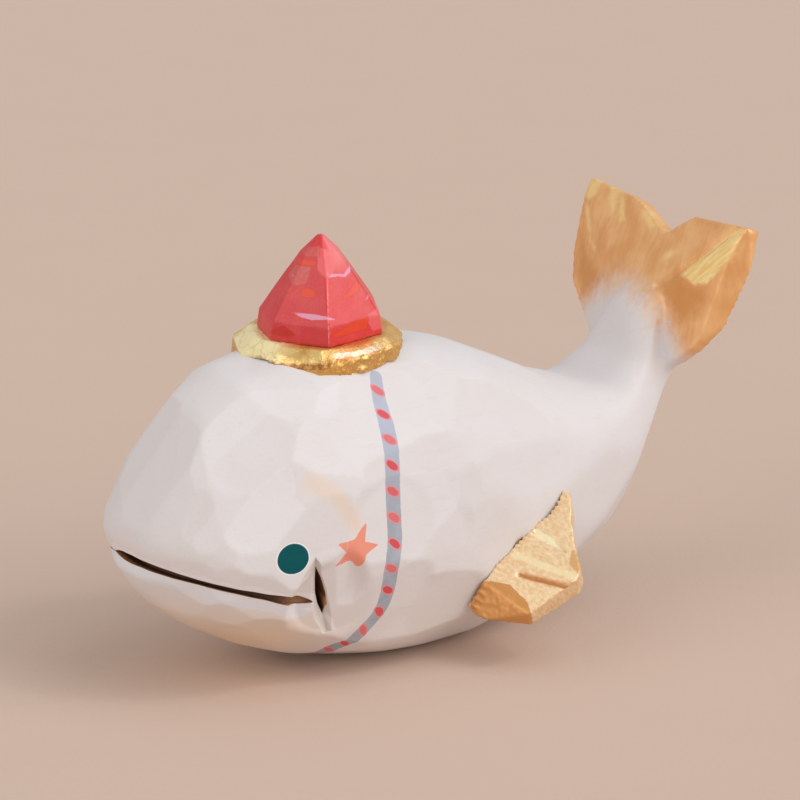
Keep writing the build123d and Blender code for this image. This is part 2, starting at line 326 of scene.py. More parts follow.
# Flats that the knife left on each side: place behind the snout, height, depth
flank_flats = [
    (13.6, 40.2, 0.50), (10.2, 32.8, 0.42), (12.5, 25.5, 0.34), (20.5, 33.0, 0.34), (20.5, 45.5, 0.32),
    (26.5, 39.0, 0.34), (29.5, 30.0, 0.26), (24.0, 22.5, 0.24), (32.0, 46.5, 0.30), (41.0, 41.0, 0.26),
    (41.5, 31.0, 0.24), (42.0, 20.0, 0.30), (49.5, 44.5, 0.28), (43.0, 10.0, 0.34), (52.0, 36.5, 0.20),
    (60.5, 41.0, 0.18), (66.0, 46.0, 0.16), (10.0, 14.5, 0.34), (19.0, 9.0, 0.36), (30.0, 5.5, 0.30),
    (27.0, 13.0, 0.24), (5.5, 40.5, 0.24),
]
# Flats across the middle: the front of the forehead
middle_flats = [(3.4, 34.0, 0.40)]
flat_reach = 13.0
# Small flats scattered over both sides: how many, their depth and reach, and where they lie
small_flats = 56
small_depths = (0.10, 0.24)
small_reach = 8.5
small_lengths = (3.0, 48.0)
small_heights = (4.0, 50.0)
# How far from the middle a side's flat starts, how far it may lie from its place, how clear it stays of
# the fin's root, the share of its reach that sets its facing, and the least cut painted its own shade
flat_side = 1.0
flat_stray = 2.0
clear_of_fin = 15.0
facing_share = 0.25
shaded_cut = 0.035

# Where the body is fuller than the model, or hollower if below 0: place, how far, and how wide
swells = [((-46.0, 4.5, 41.5), 1.1, 7.5), ((-48.5, 10.0, 36.0), 0.8, 6.0), ((-32.5, -1.5, 51.4), -0.7, 5.0),
          ((36.5, 0.0, 42.0), -1.5, 8.0), ((8.0, -18.0, 20.0), 0.35, 4.0), ((8.0, 18.0, 20.0), 0.35, 4.0)]

# A long shaving off each side under the tail: its facing, its distance from the frame's origin, and
# the lengths and heights between which it starts and ends
tail_shaving = (0.72, -0.61, -0.33)
shaving_offset = 25.6
shaving_starts = (10.0, 16.0)
shaving_ends = (33.0, 41.0)

# The flukes: the notch between the lobes, their plate's own directions, and where white paint ends
notch = (52.5, 0.8, 61.1)
fluke_rake = radians(69.0)
fluke_up = np.array([cos(fluke_rake), 0, sin(fluke_rake)])
fluke_out = np.array([-sin(fluke_rake), 0, cos(fluke_rake)])
flukes_from = 36.0
white_top = -11.8
white_top_across = -3.0
white_fall = 0.036

# What stays crisp when the body is rubbed down, each by the limits between which it fades: the lower
# lip by level and turn, the flukes' plate but not its root, and the tail's stock by length and height
lip_levels = (0.6, 1.2, 3.0, 4.5)
lip_ends = (88.0, 98.0)
lip_share = 0.8
plate_starts = (flukes_from, flukes_from + 4.0)
plate_thickness = (4.0, 7.0)
plate_low_ends = ((-30.0, -20.0), (-23.0, -17.0))
root_across = (6.0, 10.0)
root_up = (-14.0, -8.0)
stock_lengths = (14.0, 24.0)
stock_heights = (34.0, 42.0)
stock_share = 0.7
# Edges that turn by more than this, in degrees, are shaded sharp
sharp_angle = 34.0

# Painted highlights, painted shadows and a painted shade line on the flukes, as places across and up from
# the notch
fluke_sheens = [
    [(18.6, 3.0), (20.2, 3.4), (19.4, -1.6), (17.6, -4.4), (15.2, -7.2), (12.4, -7.9), (9.3, -6.9),
     (12.3, -3.4)],
]
fluke_glints = [
    [(-21.6, 4.7), (-18.4, 4.3), (-18.7, 2.0), (-20.2, 0.6), (-21.2, 1.2)],
    [(-20.9, 0.2), (-20.2, 0.1), (-16.4, -6.0), (-15.0, -7.0), (-17.4, -5.4)],
    [(-15.9, 4.4), (-14.4, 4.2), (-12.4, 0.6), (-13.2, -0.4), (-14.4, 1.6)],
    [(-11.8, 2.4), (-11.0, 2.6), (-9.4, -0.4), (-10.2, -1.2), (-11.0, 0.4)],
    [(-6.0, 1.5), (-4.4, 1.6), (-0.9, -0.4), (-1.8, -1.1), (-4.6, 0.2)],
    [(3.9, -4.9), (5.0, -3.9), (6.6, -3.7), (5.6, -4.8)],
]
fluke_shadows = [
    [(-20.4, -5.4), (-17.6, -7.4), (-14.4, -9.6), (-9.6, -11.6), (-11.6, -13.6), (-16.4, -15.4),
     (-19.6, -12.0)],
    [(4.6, -9.6), (8.6, -6.8), (12.2, -8.2), (15.0, -7.8), (14.4, -12.6), (11.2, -14.4), (7.2, -12.6)],
]
# A painted shade line along the crease
fluke_crease_shade = [(17.4, 1.4), (15.4, -1.2), (13.6, -3.2)]
crease_shade_half_width = 0.1
fluke_crease = [(18.6, 2.6), (12.3, -3.4), (8.8, -6.8), (4.5, -10.0)]
crease_depth = 0.5
crease_half_width = 0.9
crease_foot = -20.0
# The front face is further out from the plate's middle than this for cuts, and for paint
cut_face_from = 0.3
painted_face_from = -0.5

# The painted strap under the chin, on the left side: place behind the snout, side, height
strap_route = [
    (39.0, -12.6, 48.6), (38.2, -14.6, 46.2), (37.8, -16.2, 44.0), (37.4, -18.7, 39.8), (36.6, -20.9, 34.0),
    (36.4, -21.8, 27.7), (36.2, -22.3, 24.0), (35.5, -22.2, 20.2), (35.6, -21.4, 17.0), (35.5, -20.4, 14.3),
    (34.95, -19.4, 11.8), (33.75, -18.6, 9.8), (32.2, -17.2, 7.9), (31.0, -15.0, 6.1), (30.3, -12.6, 4.6),
    (30.2, -8.0, 3.2), (30.0, 0.0, 2.5),
]
strap_step = 0.4
strap_reach = 8.0

# Painted marks on each flank, further than this from the middle: place behind the snout, height
flank_from = 3.0
eye_place = (17.9, 24.3)
eye_radii = (2.58, 2.40)
eye_stretch = 1.12
star_tips = [(31.06, 28.0), (33.0, 24.15), (29.92, 20.75), (25.45, 21.75), (25.7, 25.5)]
star_inner_share = 0.47
star_round = 0.10
peach_route = [(22.2, 35.6), (25.6, 33.4), (27.7, 30.5), (29.0, 28.0)]
peach_half_width = 1.3
chip_corners = [(21.4, 14.5), (24.2, 13.4), (26.6, 10.9), (28.4, 9.5), (27.2, 12.0), (24.8, 14.6)]
specks = [(35.0, 44.5, 0.12), (44.5, 24.0, 0.14), (52.0, 34.0, 0.12), (20.5, 29.0, 0.10), (60.0, 30.0, 0.12),
          (41.0, 38.0, 0.10)]

# How far from the slit's level its inside is looked for, the depth noted elsewhere, and the lips' end
slit_level = 1.1
no_slit = 3.0
lip_turn = 96.0


class Mouth:
    """The slanted flat in which a mouth is cut, from its corners' height and its rise to the front."""

    def __init__(self, height, rise):
        self.centre = np.array([snout + mouth_back, 0, height])
        self.ahead = unit([-mouth_reach, 0, rise])
        self.upright = unit([rise, 0, mouth_reach])

    def heading(self, turn):
        """The way from the mouth's centre at a turn in degrees."""
        return self.ahead * cos(radians(turn)) + np.array([0, sin(radians(turn)), 0])

    def places(self, points):
        """Each point's turn round the mouth in degrees, its reach, and its level above the slit."""
        gap = points - self.centre
        ahead = gap @ self.ahead
        turn = np.degrees(np.arctan2(np.abs(gap[:, 1]), ahead))
        return turn, np.hypot(ahead, gap[:, 1]), gap @ self.upright

    def reaches(self, mesh, turns, level=0.0):
        """How far a mesh's skin is from the centre at each turn, at a level above the slit."""
        tree = BVHTree.FromPolygons([vertex.co * METRE for vertex in mesh.vertices],
                                    [face.vertices[:] for face in mesh.polygons])
        start = self.centre + self.upright * level
        hits = [tree.ray_cast(Vector(start), Vector(self.heading(turn)))[0] for turn in turns]
        return np.array([np.linalg.norm(np.array(hit) - start) for hit in hits])

    def slab(self, name, turns, inner, outer_low, outer_high, half):
        """A curved slab in the flat of the mouth."""
        sections = []
        for turn, near, low, high, rise in zip(turns, inner, outer_low, outer_high, half):
            corners = [(near, -rise), (near, rise), (high, rise), (low, -rise)]
            sections.append([self.centre + self.heading(turn) * reach + self.upright * level
                             for reach, level in corners])
        return prism(name, sections)


def mouth_filler():
    """A slab that closes the modelled mouth, so that the slit can be cut afresh."""
    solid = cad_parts["body"].data
    mouth = Mouth(*modelled_mouth)
    turns = np.arange(-filler_end, filler_end + 1, filler_step)
    above, below = [mouth.reaches(solid, turns, level) for level in (filler_half, -filler_half)]
    return mouth.slab("filler", turns, above - filler_depth, below, above, np.full(len(turns), filler_half))


def mouth_slit(mouth, turns, skin_reach):
    """What the knife takes out between the lips."""
    depth = slit_depth * np.sqrt(np.maximum(np.cos(np.radians(turns)), slit_depth_least))
    uneven = speckle(np.outer(turns / wander_turns, (1, 0, 0)), *wander_lumps) * wander
    uneven = uneven * step(-np.abs(turns), *wander_ends) * step(np.abs(turns - narrow_turn), *narrow_reach)
    half = np.interp(turns, slit_turns, slit_halves) + uneven
    outer = skin_reach + slit_run_out
    return mouth.slab("slit", turns, skin_reach - depth, outer, outer, half)


def gill_axes(points):
    """The middle of the left gill, and the ways along, across and out of it."""
    gap = np.hypot(points[:, 0] - snout - gill_place[0], points[:, 2] - gill_place[1])
    around = points[(points[:, 1] < 0) & (gap > gill_ring[0]) & (gap < gill_ring[1])]
    middle = around.mean(axis=0)
    out = np.linalg.svd(around - middle)[2][2]
    out = -out if out[1] > 0 else out
    centre = np.array([snout + gill_place[0], middle[1], gill_place[1]])
    centre = centre - out * ((centre - middle) @ out)
    lean = radians(gill_lean)
    down = np.array([sin(lean), 0, -cos(lean)])
    down = unit(down - out * (down @ out))
    return centre, down, np.cross(down, out), out


def gill_cutters(centre, down, across, out):
    """The vees and the stabs of the left gill and of its mirror image."""
    front, rear = [gill_depth * 2 / np.tan(radians(slope)) for slope in gill_slopes]
    vee = [-out * gill_depth, out * gill_depth + across * rear, out * gill_depth - across * front]
    groove = [[centre + down * end * gill_half_length + out * lift + corner for corner in vee]
              for end, lift in gill_lifts]
    stab = [[centre + down * (x * stab_half_length + stab_drop) + across * y * stab_half_width * share
             + out * rise for x, y in stab_shares] for rise, share in stab_widths]
    pairs = []
    for name, sections in (("groove", groove), ("stab", stab)):
        mirrored = [[point * to_right for point in section] for section in sections]
        pairs.append([prism(name, sections), prism(name, mirrored)])
    return pairs


def fluke_place(points):
    """Each point's place on the flukes: towards the near side, up the plate, and off its middle."""
    gap = points - np.array(notch)
    return -gap[:, 1], gap @ fluke_up, gap @ fluke_out


def rub_down(skin):
    """Round off the model's edges, and leave crisp what the knife left so."""
    x, _, z = skin.points.T
    turn, _, level = Mouth(*modelled_mouth).places(skin.points)
    across, up, off = fluke_place(skin.points)
    at_lip = between(-level, *lip_levels) * (1 - step(turn, *lip_ends))
    on_plate = step(x, *plate_starts) * step(up, *plate_low_ends[0])
    on_plate = on_plate * (1 - step(np.abs(off), *plate_thickness)) * step(up, *plate_low_ends[1])
    on_plate *= 1 - (1 - step(np.abs(across), *root_across)) * (1 - step(up, *root_up))
    at_stock = step(x, *stock_lengths) * step(z, *stock_heights)
    sharp = np.clip(at_lip * lip_share + on_plate + at_stock * stock_share, 0, 1)
    skin.smooth(rub, light_rounds)
    skin.smooth((1 - sharp) * rub, body_rounds)


def swell_body(skin):
    """Make the body fuller or hollower where the model is off."""
    facings = skin.facings()
    for centre, height, width in swells:
        gap = np.linalg.norm(skin.points - np.array(centre), axis=1)
        skin.move(height * np.exp(-(gap / width) ** 2), facings)


def shave_tail(skin):
    """Take a long shaving off each side under the tail."""
    facing = unit(tail_shaving)
    low_tail = step(skin.points[:, 0], *shaving_starts) * (1 - step(skin.points[:, 2], *shaving_ends))
    for way in (facing, facing * to_right):
        proud = skin.points @ way - shaving_offset
        skin.move(-np.clip(proud, 0, None) * low_tail, way)


def cut_flats(skin):
    """Leave the knife's flats on both sides and along the middle, each with a random painted shade."""
    facings = skin.facings()
    chance = np.random.default_rng(11)
    places = [(x, z, depth, flat_reach, False) for x, z, depth in flank_flats]
    places += [(x, z, depth, flat_reach, True) for x, z, depth in middle_flats]
    for _ in range(small_flats):
        along, height = chance.uniform(*small_lengths), chance.uniform(*small_heights)
        places.append((along, height, chance.uniform(*small_depths), small_reach, False))
    painted_shade = np.full(len(skin.points), 0.5)
    for along, height, depth, reach, in_middle in places:
        gap = np.hypot(skin.points[:, 0] - snout - along, skin.points[:, 2] - height)
        if in_middle:
            gap = gap + np.abs(skin.points[:, 1])
        else:
            on_left = (skin.points[:, 1] < -flat_side) & (facings[:, 1] < 0)
            gap = gap + np.where(on_left, 0, far_off)
        nearest = int(np.argmin(gap))
        off_fin = np.hypot(along - fin_root[0], height - fin_root[2])
        if gap[nearest] > flat_stray or off_fin < clear_of_fin:
            continue
        centre = skin.points[nearest].copy()
        close = np.linalg.norm(skin.points - centre, axis=1) < reach * facing_share
        facing = unit(facings[close].mean(axis=0))
        share = chance.uniform(0, 1)
        for turn in (1,) if in_middle else (1, to_right):
            before = skin.points.copy()
            skin.cut_flat(centre * turn, facing * turn, depth, reach)
            painted_shade[np.linalg.norm(skin.points - before, axis=1) > shaded_cut] = share
    return painted_shade


def press_crease(skin):
    """Run a crease down the near lobe's front face."""
    across, up, off = fluke_place(skin.points)
    on_face = (off > cut_face_from) & (up > crease_foot) & (skin.points[:, 0] > flukes_from)
    gap = line_gap(np.stack([across, up], axis=1), fluke_crease, crease_half_width)
    depth = np.clip(-gap, 0, None) * crease_depth / crease_half_width
    skin.move(-np.where(on_face, depth, 0), fluke_out)


def mark_cuts(mesh):
    """Note for the paint which faces took over a cutter's material, and give all faces one slot."""
    slots = np.zeros(len(mesh.polygons), np.int32)
    mesh.polygons.foreach_get("material_index", slots)
    attribute = mesh.attributes.new("cut_face", "FLOAT", "FACE")
    attribute.data.foreach_set("value", (slots > 0).astype(np.float32))
    mesh.polygons.foreach_set("material_index", np.zeros(len(slots), np.int32))


def carve_body():
    """The block as the knife left it: flats, a crisp mouth and gills, and creased flukes."""
    skin = dense_skin("body", "carved_body", body_grid, [mouth_filler()])
    piece = skin.piece
    piece.data.materials.append(bpy.data.materials.new("skin"))
    rub_down(skin)
    swell_body(skin)
    shave_tail(skin)
    skin.tag(facet_painted_shade=cut_flats(skin))
    press_crease(skin)
    grooves, stabs = gill_cutters(*gill_axes(skin.points))
    skin.store()
    mouth = Mouth(*carved_mouth)
    turns = np.arange(-slit_end, slit_end + 0.1, slit_step)
    skin_reach = mouth.reaches(piece.data, turns)
    openings = [mouth_slit(mouth, turns, skin_reach)] + stabs
    bare = bpy.data.materials.new("bare")
    for cutter in openings:
        cutter.materials.append(bare)
    knife(piece, grooves + openings)
    piece.data.shade_smooth()
    piece.data.set_sharp_from_angle(angle=radians(sharp_angle))
    tag_body(Skin(piece), mouth, turns, skin_reach)
    mark_cuts(piece.data)
    return piece


def tag_body(skin, mouth, turns, skin_reach):
    """Keep what the paint needs to know at each point of the body."""
    points = skin.points
    turn, reach, level = mouth.places(points)
    inside = np.interp(np.where(points[:, 1] < 0, -turn, turn), turns, skin_reach) - reach
    behind, height = points[:, 0] - snout, points[:, 2]
    flank = np.stack([behind, height], axis=1)
    off_flank = np.where(np.abs(points[:, 1]) > flank_from, 0, far_off)
    dots = [np.hypot(behind - x, height - z) - radius for x, z, radius in specks]
    across, up, off = fluke_place(points)
    plate = np.stack([across, up], axis=1)
    white_edge = white_top - white_fall * (across - white_top_across) ** 2
    on_flukes = points[:, 0] > flukes_from
    off_front = np.where(on_flukes & (off > painted_face_from), 0, far_off)
    skin.tag(
        cut_inside=np.where(np.abs(level) < slit_level, inside, no_slit),
        lip_level=np.where(turn < lip_turn, level, -far_off),
        eye_gap=np.hypot((behind - eye_place[0]) / eye_stretch, height - eye_place[1]) + off_flank,
        star_gap=polygon_gap(flank, star_corners()) + off_flank,
        peach_gap=line_gap(flank, peach_route, peach_half_width) + off_flank,
        chip_gap=polygon_gap(flank, chip_corners) + off_flank,
        speck_gap=np.min(dots, axis=0) + off_flank,
        gold_side=np.where(on_flukes, up - white_edge, -far_off),
        fluke_across=across,
        fluke_up=up,
        sheen_gap=polygons_gap(plate, fluke_sheens) + off_front,
        glint_gap=polygons_gap(plate, fluke_glints) + off_front,
        shadow_gap=polygons_gap(plate, fluke_shadows) + off_front,
        line_gap=line_gap(plate, fluke_crease_shade, crease_shade_half_width) + off_front,
    )
    tag_strap(skin)


def star_corners():
    """The star's outline: its tips, and the inner corners between them, drawn in for rounding."""
    tips = np.array(star_tips, float)
    middle = tips.mean(axis=0)
    size = np.linalg.norm(tips - middle, axis=1).mean()
    corners = []
    for tip, following in zip(tips, np.roll(tips, -1, axis=0)):
        corners.append(middle + (tip - middle) * (1 - star_round / size))
        inward = (tip + following) / 2 - middle
        corners.append(middle + unit(inward) * (size * star_inner_share - star_round))
    return corners


def strap_line():
    """Points close together along a smooth curve through the strap's route."""
    route = [np.array([snout + x, y, z]) for x, y, z in strap_route]
    whole = route + [point * to_right for point in reversed(route[:-1])]
    ends = [2 * whole[0] - whole[1]] + whole + [2 * whole[-1] - whole[-2]]
    line = []
    for before, start, end, after in zip(ends, ends[1:], ends[2:], ends[3:]):
        pieces = max(int(np.linalg.norm(end - start) / strap_step), 1)
        for share in np.arange(pieces) / pieces:
            square = share * share
            line.append(0.5 * (2 * start + (end - before) * share
                               + (2 * before - 5 * start + 4 * end - after) * square
                               + (3 * start - before - 3 * end + after) * square * share))
    return np.array(line + [whole[-1]])


def tag_strap(skin):
    """Keep each point's place along and across the strap."""
    line = strap_line()
    tree = KDTree(len(line))
    for index, point in enumerate(line):
        tree.insert(point, index)
    tree.balance()
    along_line = np.concatenate([[0], np.cumsum(np.linalg.norm(np.diff(line, axis=0), axis=1))])
    ways = np.gradient(line, axis=0)
    ways /= np.linalg.norm(ways, axis=1)[:, None]
    nearest = np.array([tree.find(point)[1] for point in skin.points])
    gap = skin.points - line[nearest]
    way = ways[nearest]
    along = along_line[nearest] + np.einsum("ij,ij->i", gap, way)
    across = np.einsum("ij,ij->i", gap, np.cross(way, skin.facings()))
    past_end = np.maximum(-along, along - along_line[-1])
    width = np.where(past_end > 0, np.hypot(across, past_end), np.abs(across))
    too_far = np.linalg.norm(gap, axis=1) > strap_reach
    skin.tag(strap_gap=np.where(too_far, far_off, width), strap_across=across,
             strap_along=np.minimum(along, along_line[-1] - along))


# The hat: its axis, and marks on the cone as bearings in degrees and levels
hat_behind = 36.98
hat_lean = 5.5
hat_heading = 235.0
hat_marks = {
    "orange": [
        [(-70, 12.1), (-12, 12.1), (-11, 11.4), (-61, 11.3)],
        [(-31, 7.8), (-24, 8.35), (-7, 8.1), (-9, 7.05), (-28, 6.95)],
        [(26, 6.6), (50, 7.5), (70, 8.7), (62, 7.0), (41, 6.55)],
        [(11, 2.0), (32, 2.9), (57, 3.5), (54, 1.5), (14, 1.5)],
        [(99, 5.4), (112, 4.9), (118, 2.9), (104, 3.3)],
    ],
    "dark": [[(-55, 1.2), (-39, 2.8), (-25, 1.5), (-34, 0.9)]],
    "grey": [
        [(-69, 11.1), (-21, 11.3), (-25, 8.8), (-40, 8.4), (-74, 9.2)],
        [(-58, 12.6), (-62, 13.8), (-4, 14.2), (-5, 12.7)],
    ],
    "outlined": [[(-74, 7.5), (-64, 8.6), (-39, 8.1), (-46, 7.2)]],
    "pink": [
        [(-14, 14.0), (48, 13.4), (43, 11.7), (25, 10.2), (9, 9.9), (-6, 10.9)],
        [(52, 3.4), (84, 4.6), (92, 1.2), (60, 0.9)],
    ],
    "lilac": [
        [(8, 9.9), (22, 10.35), (34, 10.2), (50, 9.9), (62, 10.4), (84, 11.2), (66, 9.9), (51, 9.3),
         (34, 9.7), (21, 9.75)],
        [(-36, 4.8), (-22, 4.85), (-9, 4.95), (7, 4.85), (22, 3.75), (7, 4.3), (-9, 3.95), (-22, 4.15)],
        [(60, 5.3), (68, 6.2), (78, 6.8), (69, 5.9)],
        [(-78, 9.8), (-58, 9.75), (-39, 9.35), (-58, 9.5)],
        [(-64, 9.1), (-56, 9.6), (-50, 10.2), (-55, 9.4)],
    ],
}
# The marks come again on the other side, turned and a little lower, from this seam on
other_side = 166.0
other_drop = 0.9
other_seam = -106.0
# A painted highlight down one ridge of the cone, as bearings and levels
ridge_highlight_route = [(14, 10.6), (9, 6.9), (7.6, 4.2), (7.6, 0.0)]
# The cone's ridges by bearing, and the painted shade of the facet after each, from dark to lit
ridge_bearings = (8, 70, 126, 180, 232, 272, 311)
facet_painted_shades = (0.95, 0.8, 0.55, 0.3, 0.5, 0.35, 0.1)
unrolled_foot = 10.8
unrolled_slope = 0.58
cone_lumps = (3.0, 2)
cone_waviness = 0.10
# The brim's edge by bearing: how much is trimmed off, and how far it is bent up
brim_bearings = (-100, -60, -20, 10, 32, 55, 80, 110)
brim_trims = (0.0, 0.0, 0.0, 0.3, 0.8, 0.9, 0.3, 0.0)
brim_lifts = (-0.2, -0.8, -0.6, -0.1, 0.7, 0.9, 0.2, 0.0)
brim_edge = (11.8, 13.4)
# The folds of its leaf, and the nibbles out of its edge, which are deeper at the rear
wide_folds = (3.0, 1)
fine_folds = (1.1, 5)
fine_share = 0.35
fold_base = 0.25
fold_height = 0.11
nibble_lumps = (1.5, 9)
nibble_power = 0.7
nibble_depth = 0.15
nibble_depth_behind = 0.6
brim_rear = 100.0
brim_rear_limits = (-0.2, 0.5)


def hat_axes():
    """The hat's own directions, and the middle of the cone's foot."""
    lean = radians(hat_lean)
    heading = radians(hat_heading)
    upright = np.array([sin(lean) * cos(heading), sin(lean) * sin(heading), cos(lean)])
    ahead = np.array([cos(lean) * cos(heading), cos(lean) * sin(heading), -sin(lean)])
    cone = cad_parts["hat_cone"].data
    level = min(Vector(upright).dot(vertex.co) * METRE for vertex in cone.vertices)
    foot = np.array([snout + hat_behind, 0, 0])
    foot[2] = (level - foot @ upright) / upright[2]
    return foot, ahead, np.cross(upright, ahead), upright


def hat_places(points):
    """Each point's bearing in degrees round the hat, its reach, and its level above the cone's foot."""
    foot, ahead, side, upright = hat_axes()
    gap = points - foot
    bearing = np.degrees(np.arctan2(gap @ side, gap @ ahead))
    return bearing, np.hypot(gap @ side, gap @ ahead), gap @ upright


def unrolled(bearing, level):
    """A place on the cone's skin, laid out flat."""
    return np.radians(bearing) * (unrolled_foot - unrolled_slope * level), level


def shape_cone():
    """The cone with crisp facets and hand-cut waviness, and its painted marks."""
    skin = dense_skin("hat_cone", "party_hat", cone_grid)
    skin.smooth(rub, light_rounds)
    skin.move(speckle(skin.points, *cone_lumps) * cone_waviness, skin.facings())
    bearing, _, level = hat_places(skin.points)
    turned = np.where(bearing < other_seam, bearing + 360, bearing) - other_side
    front = np.stack(unrolled(bearing, level), axis=1)
    behind = np.stack(unrolled(turned, level + other_drop), axis=1)
    for name, marks in hat_marks.items():
        shapes = [[unrolled(*corner) for corner in corners] for corners in marks]
        skin.tag(**{name + "_gap": np.minimum(polygons_gap(front, shapes), polygons_gap(behind, shapes))})
    whole = np.mod(bearing - ridge_bearings[0], 360) + ridge_bearings[0]
    facet = np.searchsorted(ridge_bearings, whole, side="right") - 1
    skin.tag(ridge_highlight_gap=line_gap(front, [unrolled(*corner) for corner in ridge_highlight_route], 0),
             painted_shade=np.array(facet_painted_shades)[facet], level=level, bearing=bearing)
    return skin.finish()


def shape_brim():
    """The brim with crinkled leaf and a ragged edge."""
    skin = dense_skin("hat_brim", "gold_brim", brim_grid)
    skin.smooth(rub, brim_rounds)
    wide, fine = [speckle(skin.points, *folds) for folds in (wide_folds, fine_folds)]
    skin.move((np.abs(wide) - fold_base + fine_share * fine) * fold_height, skin.facings())
    bearing, reach, level = hat_places(skin.points)
    _, ahead, side, upright = hat_axes()
    turn = np.radians(bearing)
    outward = np.outer(np.cos(turn), ahead) + np.outer(np.sin(turn), side)
    nibbles = np.abs(speckle(skin.points, *nibble_lumps)) ** nibble_power
    at_edge = step(reach, *brim_edge)
    rear = step(np.cos(turn - radians(brim_rear)), *brim_rear_limits)
    trim = np.interp(bearing, brim_bearings, brim_trims)
    lift = np.interp(bearing, brim_bearings, brim_lifts)
    nibbles = nibbles * at_edge * (nibble_depth + nibble_depth_behind * rear)
    skin.move(-(nibbles + trim * at_edge), outward)
    skin.move(lift * at_edge, upright)
    skin.tag(bearing=bearing, reach=reach, level=level)
    return skin.finish()


# The fins: the middle of the left fin's root, its directions in degrees, and marks on its upper face
# as places along its chord and out from its root
fin_root = (62.38, -17.9, 17.8)
fin_rise = 33.0
fin_toe = 4.0
fin_droop = 20.0
fin_sweep = 16.0
# Painted highlights on the nick and the ridge, and painted shade in the groove and on a lower facet
nick = [(2.0, 2.2), (3.5, 2.0), (3.6, 5.7), (2.7, 9.0), (2.4, 7.0), (2.2, 4.0)]
nick_low = [(1.9, 2.0), (2.2, 4.0), (2.4, 7.0), (2.7, 9.2)]
nick_depth = 0.65
nick_run = 1.6
fin_groove = [(-4.8, 5.4), (-3.6, 8.7), (-2.1, 12.9)]
groove_depth = 0.6
groove_half_width = 0.75
groove_shade_half_width = 0.35
fin_ridge_highlight = [(-3.2, 1.9), (-1.9, 2.0), (-1.0, 7.0), (0.5, 12.6), (-0.3, 13.6), (-1.5, 9.9), (-2.4, 5.5)]
fin_shaded_facet = [(-9.4, 1.0), (-8.2, 2.6), (-7.1, 5.2), (-7.8, 9.4), (-9.0, 11.2), (-10.4, 10.4), (-13.0, 6.0),
             (-13.6, 1.0)]
fin_corner = [(0.6, 13.4), (1.4, 10.6), (3.6, 9.4), (5.0, 12.0)]
# The upper face looks this much the way of the fin's top, and marks are this far off the other faces
upper_face = 0.3
off_upper_face = 3.0
# Where the fin is fuller than the model along its chord and out from its root, and by how much
fuller_chord = (3.5, 7.5, 9.5, 12.5)
fuller_out = (0.8, 2.0)
edge_fullness = 0.8
# Lumps by size, seed and height, and the teeth of the ragged root, which stand here and there
fin_lumps = [(2.0, 3, 0.07), (0.7, 4, 0.05)]
tooth_pitch = 0.95
tooth_depth = 0.34
tooth_out = (1.6, 3.0)
tooth_lumps = (3.5, 5)
tooth_limits = (-0.5, 0.2)


def fin_axes(way):
    """The middle of a fin's root, and the ways along its chord, out from its root, and to its top."""
    rise, toe = radians(fin_rise), radians(fin_toe)
    droop, sweep = radians(fin_droop), radians(fin_sweep)
    root = np.array([snout + fin_root[0], fin_root[1], fin_root[2]])
    chord = np.array([cos(rise) * cos(toe), cos(rise) * sin(toe), sin(rise)])
    outward = np.array([cos(droop) * sin(sweep), -cos(droop) * cos(sweep), -sin(droop)])
    top = unit(np.cross(outward, chord))
    return [axis * np.array([1, way, 1]) for axis in (root, chord, np.cross(chord, top), top)]


def shape_fin(node, name, way):
    """A fin with its nick, groove and ragged root, and marks of painted highlight and shade on its gold."""
    skin = dense_skin(node, name, fin_grid)
    skin.smooth(rub, light_rounds)
    root, along, outward, top = fin_axes(way)
    gap = skin.points - root
    chord, out = gap @ along, gap @ outward
    fuller = between(chord, *fuller_chord) * step(out, *fuller_out)
    skin.move(fuller * edge_fullness, outward)
    flat = np.stack([chord, out], axis=1)
    upward = skin.facings() @ top > upper_face
    nick_gap = polygon_gap(flat, nick)
    nick_cut = nick_depth * np.clip(1 - line_gap(flat, nick_low, 0) / nick_run, 0, 1)
    groove_gap = line_gap(flat, fin_groove, groove_half_width)
    groove_cut = groove_depth * np.clip(-groove_gap / groove_half_width, 0, 1)
    cut = np.where(nick_gap < 0, nick_cut, 0) + groove_cut
    skin.move(-np.where(upward, cut, 0), top)
    lumps = sum(speckle(skin.points, size, seed) * height for size, seed, height in fin_lumps)
    teeth = np.abs(np.mod(chord / tooth_pitch, 1) - 0.5) * 2 - 0.5
    at_root = (1 - step(out, *tooth_out)) * step(speckle(skin.points, *tooth_lumps), *tooth_limits)
    skin.move(lumps + teeth * at_root * tooth_depth, skin.facings())
    off_top = np.where(upward, 0, off_upper_face)
    skin.tag(
        nick_gap=nick_gap + off_top,
        ridge_highlight_gap=polygon_gap(flat, fin_ridge_highlight) + off_top,
        groove_gap=line_gap(flat, fin_groove, groove_shade_half_width) + off_top,
        shaded_facet_gap=polygon_gap(flat, fin_shaded_facet),
        corner_gap=polygon_gap(flat, fin_corner) + off_top,
    )
    return skin.finish()


class Output:
    """What a node gives, so that sums of numbers can be written with the usual signs."""

    def __init__(self, paint, socket):
        self.paint = paint
        self.socket = socket

    def __add__(self, other):
        return self.paint.math("ADD", self, other)

    def __sub__(self, other):
        return self.paint.math("SUBTRACT", self, other)

    def __mul__(self, other):
        return self.paint.math("MULTIPLY", self, other)

    def __truediv__(self, other):
        return self.paint.math("DIVIDE", self, other)

    def __abs__(self):
        return self.paint.math("ABSOLUTE", self)


